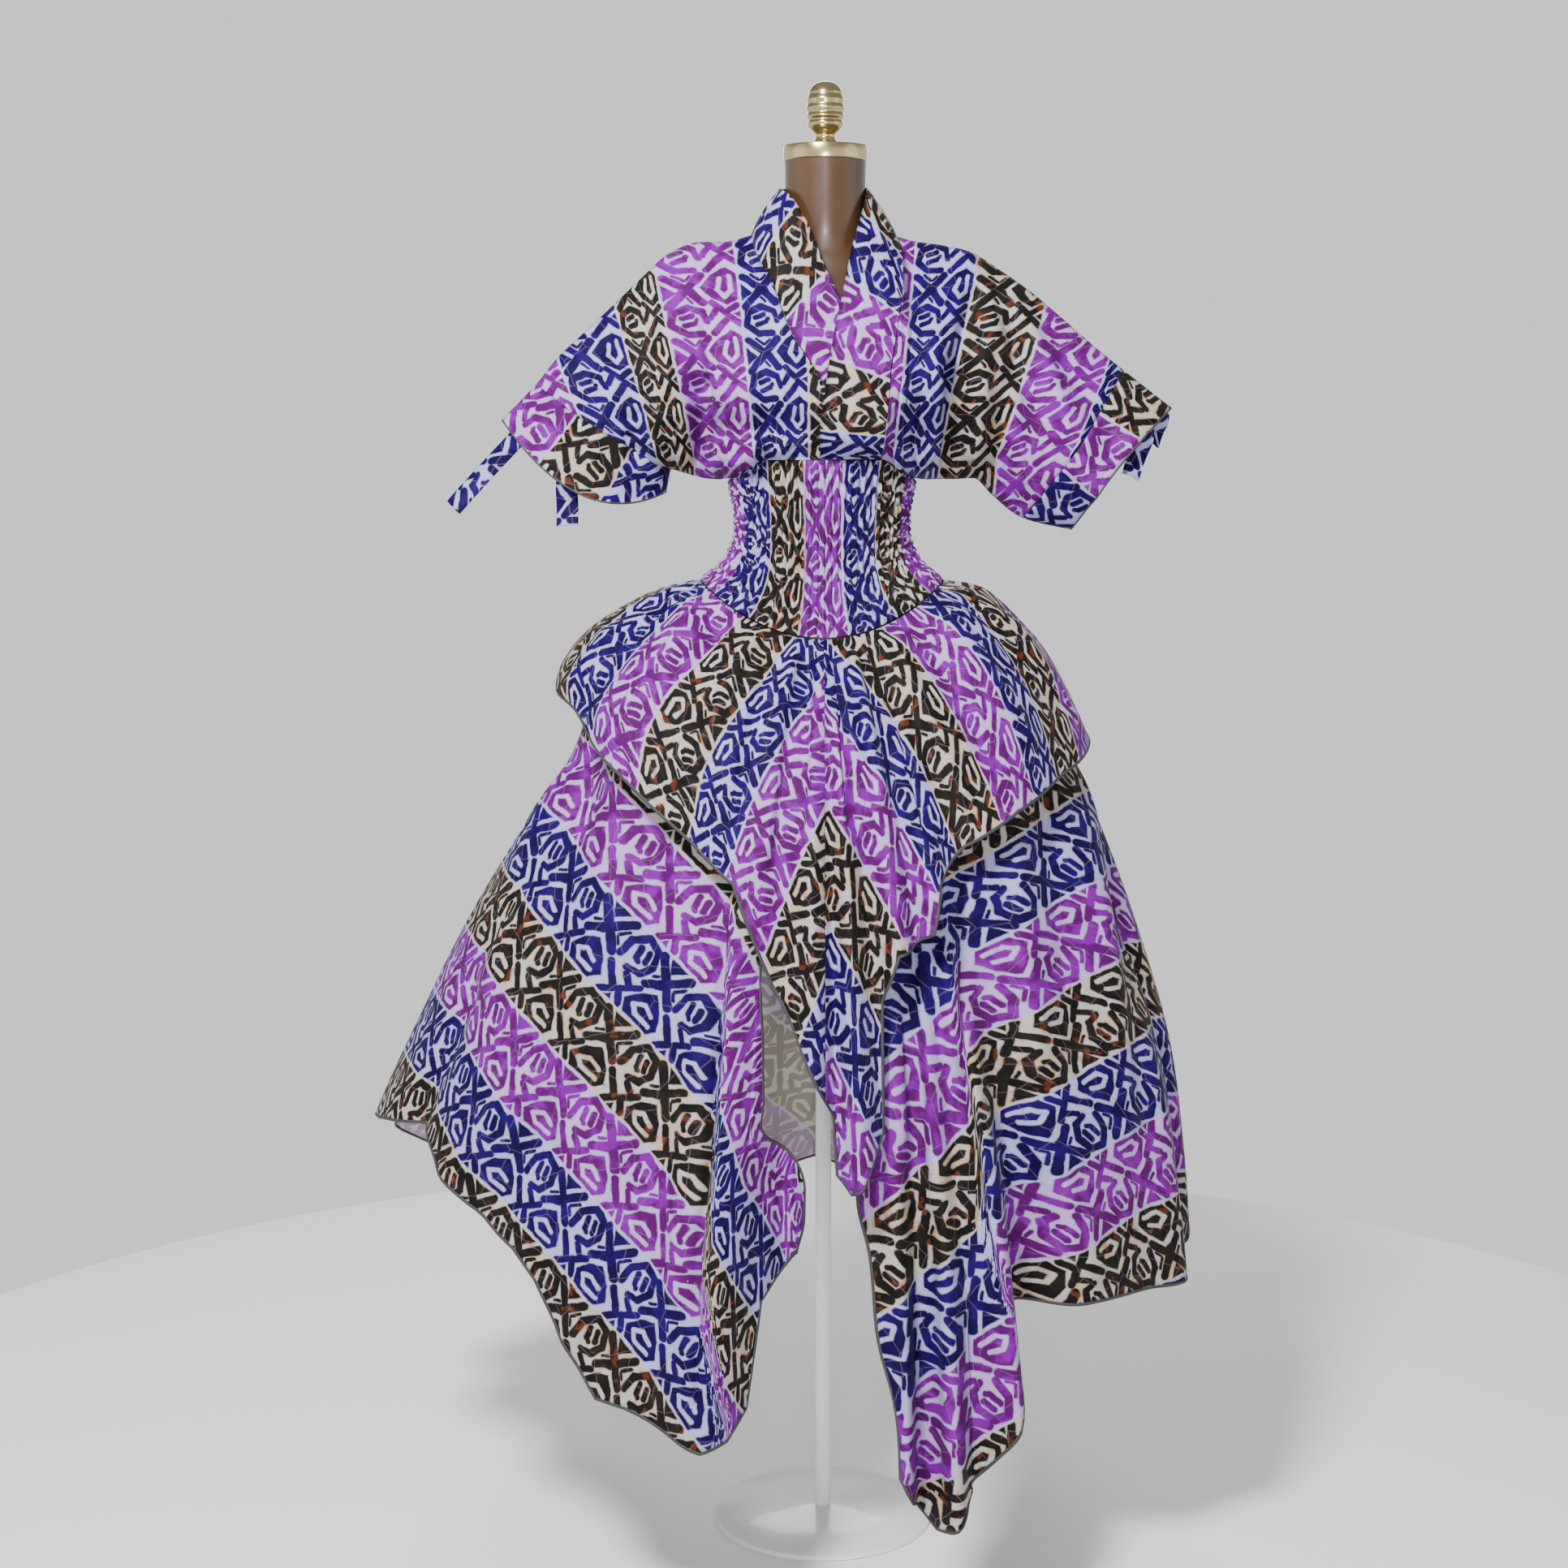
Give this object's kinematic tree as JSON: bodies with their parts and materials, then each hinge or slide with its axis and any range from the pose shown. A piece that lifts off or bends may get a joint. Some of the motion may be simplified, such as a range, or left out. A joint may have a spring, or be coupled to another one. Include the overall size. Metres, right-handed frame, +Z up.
{
  "type": "handkerchief dress on a dress form",
  "caption": "Block-printed wrap-front dress with tied open sleeves, smocked waist, pointed peplum and uneven pointed skirt hem, on a limbless dress form.",
  "frame": {"origin": "centre of the stand base's underside, on the pole's axis, at floor level", "axes": "+Z up along the pole, the dress's front faces -Y, and +X is to the right as seen from the front"},
  "size_m": [0.9855, 0.7854, 1.718],
  "materials": {
    "print_cloth": "matte printed cotton",
    "form_cover": "glossy brown cover",
    "gold_metal": "polished gold plate",
    "stand_enamel": "white enamel"
  },
  "bodies": {
    "root": {"bodice_left": "print_cloth", "bodice_right": "print_cloth", "band_left": "print_cloth", "band_right": "print_cloth", "cuff_left": "print_cloth", "cuff_right": "print_cloth", "tie_left_outer": "print_cloth", "tie_left_inner": "print_cloth", "tie_right_outer": "print_cloth", "tie_right_inner": "print_cloth", "smock_front": "print_cloth", "smock_back": "print_cloth", "peplum_front_left": "print_cloth", "peplum_front_right": "print_cloth", "peplum_back_left": "print_cloth", "peplum_back_right": "print_cloth", "skirt_front_left": "print_cloth", "skirt_front_right": "print_cloth", "skirt_back_left": "print_cloth", "skirt_back_right": "print_cloth", "form_torso": "form_cover", "neck_cap": "gold_metal", "finial": "gold_metal", "stand_pole": "stand_enamel", "stand_base": "stand_enamel"}
  },
  "joints": []
}
